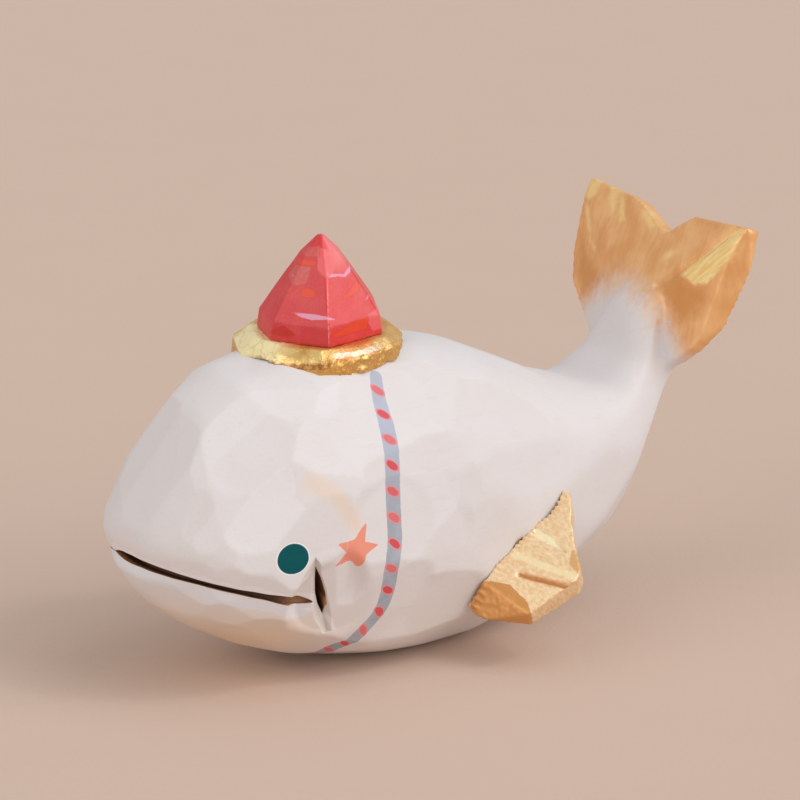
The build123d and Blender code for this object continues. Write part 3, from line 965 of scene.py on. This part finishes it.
class Paint:
    """The nodes of one material, with short calls for what it needs."""

    def __init__(self, name):
        self.material = bpy.data.materials.new(name)
        self.material.use_nodes = True
        self.tree = self.material.node_tree
        self.shader = self.tree.nodes["Principled BSDF"]
        self.place = self.vector("SCALE", {0: self.node("TexCoord", "Object"), "Scale": METRE})

    def put(self, socket, value):
        """Set a socket to a number or colour, or link it."""
        if isinstance(value, Output):
            self.tree.links.new(value.socket, socket)
        else:
            socket.default_value = (*value, 1.0) if socket.type == "RGBA" else value

    def node(self, kind, output, inputs=None, **settings):
        """Add a node with its settings and inputs, and give one of its outputs."""
        node = self.tree.nodes.new("ShaderNode" + kind)
        for name, value in settings.items():
            setattr(node, name, value)
        for key, value in (inputs or {}).items():
            self.put(node.inputs[key], value)
        return Output(self, node.outputs[output])

    def math(self, kind, *values):
        """A sum of numbers."""
        return self.node("Math", 0, dict(enumerate(values)), operation=kind)

    def vector(self, kind, inputs, output="Vector"):
        """What comes of a sum of vectors, or the length of one."""
        return self.node("VectorMath", output, inputs, operation=kind)

    def combine(self, x, y, z=0.0):
        """A vector from its three numbers."""
        return self.node("CombineXYZ", 0, {0: x, 1: y, 2: z})

    def axes(self):
        """The place in the frame along each axis, in millimetres."""
        node = self.tree.nodes.new("ShaderNodeSeparateXYZ")
        self.put(node.inputs[0], self.place)
        return [Output(self, socket) for socket in node.outputs]

    def tag(self, name):
        """A number kept at each point of the skin."""
        return self.node("Attribute", "Fac", attribute_name=name)

    def noise(self, size, detail=2.0, place=None, roughness=0.5, distortion=0.0):
        """Noise from 0 to 1 with lumps of that size in millimetres."""
        inputs = {"Vector": place or self.place, "Scale": 1 / size, "Detail": detail,
                  "Roughness": roughness, "Distortion": distortion}
        return self.node("TexNoise", "Fac", inputs)

    def cracks(self, size, place):
        """The distance to the nearest crack of a broken film, in shares of that size."""
        return self.node("TexVoronoi", "Distance", {"Vector": place, "Scale": 1 / size},
                         feature="DISTANCE_TO_EDGE")

    def step(self, value, low, high):
        """0 at low, 1 at high, and smooth between them."""
        return self.node("MapRange", "Result", {"Value": value, "From Min": low, "From Max": high},
                         interpolation_type="SMOOTHSTEP")

    def between(self, value, low, full, fading, high):
        """1 from full to fading, 0 below low and above high, and smooth between them."""
        return self.step(value, low, full) * self.step(value, high, fading)

    def mix(self, share, first, second):
        """A colour between two others."""
        return self.node("Mix", 2, {0: share, 6: first, 7: second}, data_type="RGBA")

    def blend(self, share, first, second):
        """A number between two others."""
        return self.node("Mix", 0, {0: share, 2: first, 3: second})

    def cloud(self, noise, low, high, first, second):
        """Two colours in clouds, the first where the noise is low."""
        return self.mix(self.step(noise, low, high), first, second)

    def centred(self, size, reach, detail=2.0):
        """Noise about 0 that mostly stays within a reach."""
        return (self.noise(size, detail) - 0.5) * (2 * reach)

    def wash(self, colour, top, cover, share):
        """Another colour over part of the first, at most by that share."""
        return self.mix(cover * share, colour, top)

    def mark(self, colour, name, top, edge=0.06, share=1.0, wobble=None):
        """Another colour inside a shape, whose edge is where its tag is 0."""
        gap = self.tag(name) if wobble is None else self.tag(name) + wobble
        return self.wash(colour, top, self.step(gap, edge, -edge), share)

    def bump(self, height, distance):
        """Relief of that depth in millimetres."""
        inputs = {"Strength": 1.0, "Distance": distance / METRE, "Height": height}
        self.put(self.shader.inputs["Normal"], self.node("Bump", "Normal", inputs))

    def finish(self, **sockets):
        """Set the shader's own sockets by name, and give the material."""
        for name, value in sockets.items():
            self.put(self.shader.inputs[name.replace("_", " ")], value)
        return self.material


def tint(red, green, blue):
    """A screen colour from 0 to 255 as light."""
    def light(value):
        share = value / 255
        return share / 12.92 if share <= 0.04045 else ((share + 0.055) / 1.055) ** 2.4
    return light(red), light(green), light(blue)


# Whitewash, and what is painted on it
white_paint = tint(226, 223, 226)
cream_paint = tint(222, 217, 217)
# Lit and shaded copies of the whitewash: painted shade on the knife's flats
facet_lit = tint(228, 225, 229)
facet_shaded = tint(218, 212, 212)
grain_grey = tint(210, 200, 194)
# Warm shade painted low on the body
low_warm_shade = tint(236, 210, 180)
lip_white = tint(224, 225, 232)
chip_white = tint(236, 235, 239)
peach_wash = tint(230, 208, 190)
speck_brown = tint(120, 92, 84)
# Bare wood inside the cuts, and its painted shade deeper in
cut_light = tint(190, 144, 104)
cut_deep_shade = tint(104, 68, 48)
strap_pale = tint(182, 188, 208)
strap_grey = tint(160, 165, 178)
strap_worn = tint(176, 182, 196)
dash_red = tint(210, 76, 86)
dash_pink = tint(226, 144, 148)
eye_teal = tint(4, 84, 90)
eye_rim = tint(238, 238, 240)
star_coral = tint(236, 148, 126)
# Brushed gold on the flukes, with painted shade, glints and sheen
gold_light = tint(248, 194, 134)
gold_deep = tint(234, 170, 108)
gold_shade = tint(214, 144, 74)
gold_glint = tint(255, 222, 150)
sheen_deep = tint(246, 204, 126)
sheen_pale = tint(255, 232, 166)
# Gold leaf on the brim, with painted highlights, glints, a painted reflection of the red cone and a painted
# shadow
leaf_ochre = tint(226, 176, 98)
leaf_yellow = tint(246, 212, 140)
leaf_highlight = tint(255, 240, 186)
leaf_red_reflection = tint(236, 134, 76)
leaf_glare = tint(255, 240, 216)
leaf_painted_shadow = tint(152, 90, 38)
leaf_low = tint(212, 156, 78)
leaf_rear = tint(216, 172, 112)
leaf_crack = tint(196, 144, 78)
leaf_glint = tint(255, 238, 186)
# Gold paint on the fins, and its marks: tag, colour, softness of the edge, share
fin_tan = tint(240, 200, 148)
fin_cream = tint(254, 228, 188)
# The ridge is a painted highlight, the groove and the facet painted shade
fin_marks = [
    ("corner_gap", tint(222, 168, 102), 0.1, 0.8), ("shaded_facet_gap", tint(214, 150, 82), 0.08, 0.95),
    ("ridge_highlight_gap", tint(255, 238, 190), 0.3, 0.8), ("groove_gap", tint(198, 122, 58), 0.25, 0.9),
]
nick_highlight = tint(255, 244, 206)
# Lacquer on the cone, its marks in the same way, and its outlines: tag, colour, outer and inner edge, share
# The lacquer's shaded and lit tones, painted one to each facet of the cone as painted shade
lacquer_shaded = tint(208, 50, 57)
lacquer_lit = tint(222, 50, 50)
lacquer_hatch = tint(228, 96, 98)
lacquer_cloud = tint(228, 86, 90)
lacquer_high = tint(242, 140, 140)
thin_dark = tint(202, 96, 92)
thin_pale = tint(212, 122, 114)
pink_mark = ("pink_gap", tint(236, 100, 104), 0.10, 0.8)
warm_marks = [("orange_gap", tint(232, 66, 20), 0.10, 0.92), ("dark_gap", tint(196, 34, 16), 0.14, 0.9)]
hat_outlines = [
    ("outlined_gap", tint(214, 56, 44), 0.17, 0.07, 1.0), ("grey_gap", tint(206, 50, 46), 0.14, 0.05, 0.5),
    ("orange_gap", tint(204, 52, 32), 0.14, 0.05, 0.5),
]
lilac = tint(228, 156, 188)
# Painted highlight on a ridge of the cone
ridge_highlight_pale = tint(248, 170, 160)
# Bare dowels, and the floor
wood_dark = tint(176, 138, 96)
wood_pale = tint(206, 172, 128)
floor_pale = tint(211, 186, 170)
floor_dark = tint(209, 184, 168)

# The strap's half width at its top, middle and low end, and its dashes
strap_halves = (1.12, 1.38, 1.12)
dash_spacing = 4.19
dash_first = 2.3
dash_tilt = -33.0
dash_half_length = 1.3
dash_half_width = 0.68

# The leaf by bearing: painted highlight on the left, painted reflection of the cone in front, painted shadow
# between, and dull behind. A painted glare and that shadow run round it this far below the cone's foot.
highlight_bearings = (-100.0, -92.0, -40.0, -24.0)
reflection_bearings = (6.0, 16.0, 46.0, 58.0)
shadow_bearings = (-70.0, -40.0, 4.0, 14.0)
dull_bearing = 105.0
glare_level = 0.9
shadow_level = 1.9


def strap_paint(paint, colour, wobble):
    """The strap and its dashes over the whitewash."""
    along = paint.tag("strap_along")
    across = paint.tag("strap_across")
    half = paint.blend(paint.step(along, 1.0, 9.0), strap_halves[0], strap_halves[1])
    half = paint.blend(paint.step(along, 34.0, 44.0), half, strap_halves[2])
    past = paint.tag("strap_gap") + wobble - half
    strap = paint.mix(paint.step(along, 6.0, 26.0), strap_pale, strap_grey)
    strap = paint.mix(paint.step(paint.noise(3.0), 0.3, 0.8), strap, strap_worn)
    turns = (along - dash_first) / dash_spacing
    which = paint.math("ROUND", turns)
    local = (turns - which) * dash_spacing
    tilt = radians(dash_tilt)
    long_way = across * cos(tilt) + local * sin(tilt)
    short_way = local * cos(tilt) - across * sin(tilt)
    oval = paint.combine(long_way / dash_half_length, short_way / dash_half_width)
    oval = paint.vector("LENGTH", {0: oval}, "Value") + wobble
    colour = paint.mix(paint.step(past, 0.06, -0.06), colour, strap)
    near = paint.step(past, 0.16, 0.04) * paint.step(oval, 1.22, 1.08) * paint.step(which, -0.7, -0.3)
    colour = paint.mix(near, colour, dash_pink)
    # The dashes' red hearts are strong or weak by chance
    heart = paint.blend(paint.step(paint.math("FRACT", which * 0.618), 0.3, 0.7), 0.55, 1.0)
    return paint.mix(near * heart * paint.step(oval, 0.98, 0.80), colour, dash_red)


def fluke_gold(paint):
    """Colour of the flukes' brushed gold with painted shade, glints and sheen, and its fine streaks."""
    across = paint.tag("fluke_across")
    up = paint.tag("fluke_up")
    bent = across + paint.noise(9.0, 1.0) * 3.0
    streaks = paint.noise(1.0, 3.0, paint.combine(bent * 1.3, up * 0.12))
    fine = paint.noise(0.5, 2.0, paint.combine(bent * 1.5, up * 0.25))
    gold = paint.cloud(streaks * 0.3 + paint.noise(5.0, 3.0) * 0.7, 0.35, 0.65, gold_deep, gold_light)
    soft = paint.centred(1.6, 1.1, 3.0)
    # Painted shadows, glints and sheen, and painted shade along the crease
    gold = paint.mark(gold, "shadow_gap", gold_shade, 1.8, 0.75, soft)
    gold = paint.mark(gold, "glint_gap", gold_glint, 0.8, 0.8, soft)
    slanted = paint.noise(0.9, 3.0, paint.combine(across - up, (across + up) * 0.15))
    sheen = paint.cloud(slanted, 0.3, 0.7, sheen_deep, sheen_pale)
    gold = paint.mark(gold, "sheen_gap", sheen, 0.5, 1.0, paint.centred(0.8, 0.5, 3.0))
    gold = paint.mark(gold, "line_gap", gold_shade, 0.2, 0.9)
    return gold, streaks, fine


def body_paint():
    """Whitewash with the painted eye, star and strap, and gold on the flukes."""
    paint = Paint("whitewashed_wood")
    x, y, z = paint.axes()
    fine = paint.noise(0.7, 4.0)
    grain = paint.noise(0.6, 3.0, paint.combine(x * 0.16, y, z))
    colour = paint.cloud(paint.noise(8.0, 3.0), 0.35, 0.75, white_paint, cream_paint)
    # Painted shade: each knife flat a little lighter or darker at random, standing in for light on the
    # facets
    colour = paint.mix(0.6, colour, paint.mix(paint.tag("facet_painted_shade"), facet_shaded, facet_lit))
    colour = paint.wash(colour, grain_grey, paint.step(grain, 0.55, 0.8), 0.25)
    # Painted warm shade towards the bottom, strongest at the front
    at_front = paint.blend(paint.step(x, -40.0, -24.0), 0.85, 0.12)
    colour = paint.wash(colour, low_warm_shade, paint.step(z, 20.0, 6.0), at_front)
    wobble = paint.centred(1.2, 0.12)
    colour = paint.mark(colour, "peach_gap", peach_wash, 1.1, 0.7, paint.centred(2.5, 0.8, 3.0))
    colour = paint.mark(colour, "speck_gap", speck_brown, 0.08, 0.7)
    colour = strap_paint(paint, colour, wobble)
    colour = paint.mark(colour, "star_gap", star_coral, 0.07, 1.0, wobble - star_round)
    # Eye
    reach = paint.tag("eye_gap") + wobble * 0.35
    on_rim, on_eye = [paint.step(reach, radius + 0.05, radius - 0.05) for radius in eye_radii]
    colour = paint.mix(on_rim, colour, eye_rim)
    colour = paint.mix(on_eye, colour, eye_teal)
    # Lips, the chip below the gill, and bare wood inside the cuts, darker deeper in as painted shade
    level = paint.tag("lip_level") + paint.centred(3.0, 0.9, 1.0)
    colour = paint.wash(colour, lip_white, paint.between(level, -2.75, -2.55, -0.3, 0.0), 0.9)
    colour = paint.wash(colour, chip_white, paint.between(level, 0.3, 0.5, 1.0, 1.3), 0.5)
    colour = paint.mark(colour, "chip_gap", chip_white, 0.15, 0.85, wobble)
    inside = paint.tag("cut_inside") + paint.centred(0.8, 0.25)
    bare = paint.mix(paint.step(inside, 0.6, 2.2), cut_light, cut_deep_shade)
    colour = paint.mix(paint.step(paint.tag("cut_face"), 0.4, 0.6), colour, bare)
    # Flukes, with the white dragged out over the gold
    gold, streaks, brushed = fluke_gold(paint)
    drag = (streaks - 0.5) * 6.0
    hairs = (paint.noise(1.0, 4.0) - 0.5) * 5.0
    on_gold = paint.step(paint.tag("gold_side") + drag + hairs, -3.6, 5.2)
    colour = paint.mix(on_gold, colour, gold)
    paint.bump(fine * 0.6 + brushed * on_gold, 0.05)
    shine = on_gold * paint.blend(paint.step(paint.tag("sheen_gap"), 0.5, -0.5), 0.3, 0.15)
    return paint.finish(Base_Color=colour, Metallic=shine, Roughness=paint.blend(on_gold, 0.62, 0.36),
                        Specular_IOR_Level=paint.blend(on_eye, 0.5, 0.12))


def leaf_paint():
    """Crinkled gold leaf: painted highlight on the left and reflection in front, ochre below and behind."""
    paint = Paint("gold_leaf")
    bearing = paint.tag("bearing")
    level = paint.tag("level")
    folds = paint.noise(1.3, 4.0, roughness=0.55, distortion=0.6)
    cloud = paint.noise(3.0, 3.0)
    colour = paint.cloud(cloud, 0.35, 0.65, leaf_ochre, leaf_yellow)
    # Painted highlight on the left
    left = paint.between(bearing, *highlight_bearings) * paint.step(level + paint.centred(1.0, 0.3), -2.3, -2.0)
    colour = paint.wash(colour, leaf_highlight, left, 0.95)
    # Painted reflection of the red cone in front, and a painted glare round it
    at_front = paint.between(bearing, *reflection_bearings)
    colour = paint.wash(colour, leaf_red_reflection, at_front * paint.step(level, -1.9, -1.5), 0.6)
    glare = paint.step(abs(level + glare_level + paint.centred(1.5, 0.3)), 0.4, 0.2)
    colour = paint.wash(colour, leaf_glare, at_front * glare, 0.8)
    # Painted shadow in a band round the brim
    crease = paint.step(abs(level + shadow_level + paint.centred(1.5, 0.5)), 0.5, 0.2)
    colour = paint.wash(colour, leaf_painted_shadow, paint.between(bearing, *shadow_bearings) * crease, 0.8)
    low = paint.step(level + paint.centred(1.4, 0.4), -2.0, -2.6)
    colour = paint.wash(colour, leaf_low, low, 0.65)
    rear = paint.step(abs(bearing - dull_bearing), 60.0, 35.0)
    colour = paint.wash(colour, leaf_rear, rear, 0.6)
    shift = paint.vector("SCALE", {0: paint.combine(folds, cloud, folds), "Scale": 2.5})
    bent = paint.vector("ADD", {0: paint.place, 1: shift})
    crack = paint.step(paint.cracks(3.2, bent), 0.025, 0.008) * 0.35
    colour = paint.mix(crack, colour, leaf_crack)
    # Painted glints over the lower band
    colour = paint.wash(colour, leaf_glint, paint.step(paint.noise(0.35), 0.64, 0.72), low)
    paint.bump(folds - crack * 0.5, 0.14)
    roughness = paint.blend(rear, paint.blend(folds, 0.16, 0.32), 0.5)
    return paint.finish(Base_Color=colour, Metallic=paint.blend(left, 0.62, 0.15), Roughness=roughness)


def fin_paint():
    """Brushed gold paint with painted highlights on nick and ridge, and painted shade on facet and groove.
    """
    paint = Paint("gold_paint")
    x, y, z = paint.axes()
    leaning = paint.combine(x + z, (x - z) * 0.3, y)
    folds = paint.noise(0.55, 4.0, leaning, 0.65, 0.5)
    colour = paint.cloud(paint.noise(0.8, 4.0, leaning, 0.6), 0.3, 0.7, fin_tan, fin_cream)
    wobble = paint.centred(0.8, 0.12)
    for mark in fin_marks:
        colour = paint.mark(colour, *mark, wobble)
    # Painted highlight on the nick
    colour = paint.mark(colour, "nick_gap", nick_highlight, 0.06, 0.95)
    paint.bump(folds * paint.step(paint.tag("shaded_facet_gap"), -0.1, 0.1), 0.16)
    return paint.finish(Base_Color=colour, Metallic=0.35, Roughness=paint.blend(folds, 0.24, 0.42))


def red_paint():
    """Coral lacquer, thin in places, with orange and lilac marks, painted shade and a painted highlight."""
    paint = Paint("red_lacquer")
    x, y, z = paint.axes()
    wobble = paint.centred(0.9, 0.10)
    grain = paint.noise(0.5, 3.0, paint.combine(x * 0.25, y, z * 1.4))
    # Painted shade: each facet in the shaded or the lit lacquer
    colour = paint.mix(paint.tag("painted_shade"), lacquer_shaded, lacquer_lit)
    colour = paint.wash(colour, lacquer_hatch, paint.step(paint.noise(0.35), 0.45, 0.7), 0.15)
    colour = paint.wash(colour, lacquer_cloud, paint.step(paint.noise(3.0, 3.0), 0.45, 0.75), 0.4)
    high = paint.step(paint.tag("level"), 9.0, 12.5) * paint.step(paint.tag("bearing"), 20.0, 44.0)
    colour = paint.wash(colour, lacquer_high, high, 0.6)
    thin = paint.cloud(grain, 0.35, 0.7, thin_dark, thin_pale)
    for mark in (pink_mark, ("grey_gap", thin, 0.12, 0.5), *warm_marks):
        colour = paint.mark(colour, *mark, wobble)
    for name, top, outer, inner, share in hat_outlines:
        colour = paint.wash(colour, top, paint.step(abs(paint.tag(name)), outer, inner), share)
    colour = paint.mark(colour, "lilac_gap", lilac, 0.08, 0.9, wobble * 0.5 + 0.08)
    # Painted highlight along the cone's ridge
    colour = paint.wash(colour, ridge_highlight_pale, paint.step(paint.tag("ridge_highlight_gap") + wobble, 0.15, 0.03), 0.5)
    paint.bump(paint.noise(0.6, 3.0), 0.05)
    return paint.finish(Base_Color=colour, Roughness=0.42, Coat_Weight=0.2, Coat_Roughness=0.15)


def wood():
    """Bare turned wood of the hidden dowels."""
    paint = Paint("bare_wood")
    x, y, z = paint.axes()
    grain = paint.noise(0.4, 3.0, paint.combine(x, y, z * 0.12))
    paint.bump(grain, 0.02)
    return paint.finish(Base_Color=paint.cloud(grain, 0.3, 0.7, wood_dark, wood_pale), Roughness=0.7)


def heading_of(bearing, elevation):
    """The way to a place round the whale: bearing 0 is in front of its left side."""
    turn, rise = radians(bearing), radians(elevation)
    return Vector((sin(turn) * cos(rise), -cos(turn) * cos(rise), sin(rise)))


def place_facing(name, data, way):
    """Put a camera or lamp in the scene, looking at the whale from that way."""
    holder = bpy.data.objects.new(name, data)
    holder.rotation_euler = way.to_track_quat("Z", "Y").to_euler()
    bpy.context.scene.collection.objects.link(holder)
    return holder


def lamp(name, bearing, elevation, width, share, colour):
    """A wide, distant lamp that faces the whale."""
    light = bpy.data.lights.new(name, "SUN")
    light.angle = radians(width)
    light.energy = share * pi
    light.color = colour
    place_facing(name, light, heading_of(bearing, elevation))


def make_camera():
    """The camera at the photograph's place."""
    data = bpy.data.cameras.new("camera")
    data.lens = camera_lens
    data.sensor_width = camera_sensor
    way = heading_of(camera_azimuth, camera_elevation)
    holder = place_facing("camera", data, way)
    holder.location = (Vector(camera_aim) + way * camera_distance) / METRE
    bpy.context.scene.camera = holder


def make_stage():
    """A plain pale floor, the world's soft light, and the lamps."""
    half = floor_width / 2 / METRE
    corners = [(-half, -half, 0), (half, -half, 0), (half, half, 0), (-half, half, 0)]
    mesh = bpy.data.meshes.new("floor")
    mesh.from_pydata(corners, [], [(0, 1, 2, 3)])
    floor = bpy.data.objects.new("floor", mesh)
    bpy.context.scene.collection.objects.link(floor)
    paint = Paint("floor")
    paint.bump(paint.noise(0.8, 3.0), 0.05)
    colour = paint.mix(paint.noise(30.0, 3.0), floor_pale, floor_dark)
    mesh.materials.append(paint.finish(Base_Color=colour, Roughness=0.85))
    world = bpy.data.worlds.new("world")
    world.use_nodes = True
    background = world.node_tree.nodes["Background"]
    background.inputs["Color"].default_value = (*world_colour, 1.0)
    background.inputs["Strength"].default_value = world_strength
    bpy.context.scene.world = world
    for name, values in lamps.items():
        lamp(name, *values)
    bpy.context.scene.view_settings.view_transform = "Standard"


def dress():
    """Every piece with its paint."""
    gilt = fin_paint()
    pieces = [
        (carve_body(), body_paint(), "whitewashed_wood"),
        (shape_brim(), leaf_paint(), "gold_leaf"),
        (shape_cone(), red_paint(), "red_lacquer"),
        (shape_fin("left_pectoral_fin", "left_fin", 1), gilt, "gold_paint"),
        (shape_fin("right_pectoral_fin", "right_fin", -1), gilt, "gold_paint"),
    ]
    for piece, material, slot in pieces:
        piece.data.materials.clear()
        piece.data.materials.append(material)
    dowel_wood = wood()
    for node in ("hat_dowel", "left_fin_dowel", "right_fin_dowel"):
        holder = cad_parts[node]
        holder.material_slots[0].link = "OBJECT"
        holder.material_slots[0].material = dowel_wood


make_camera()
make_stage()
dress()
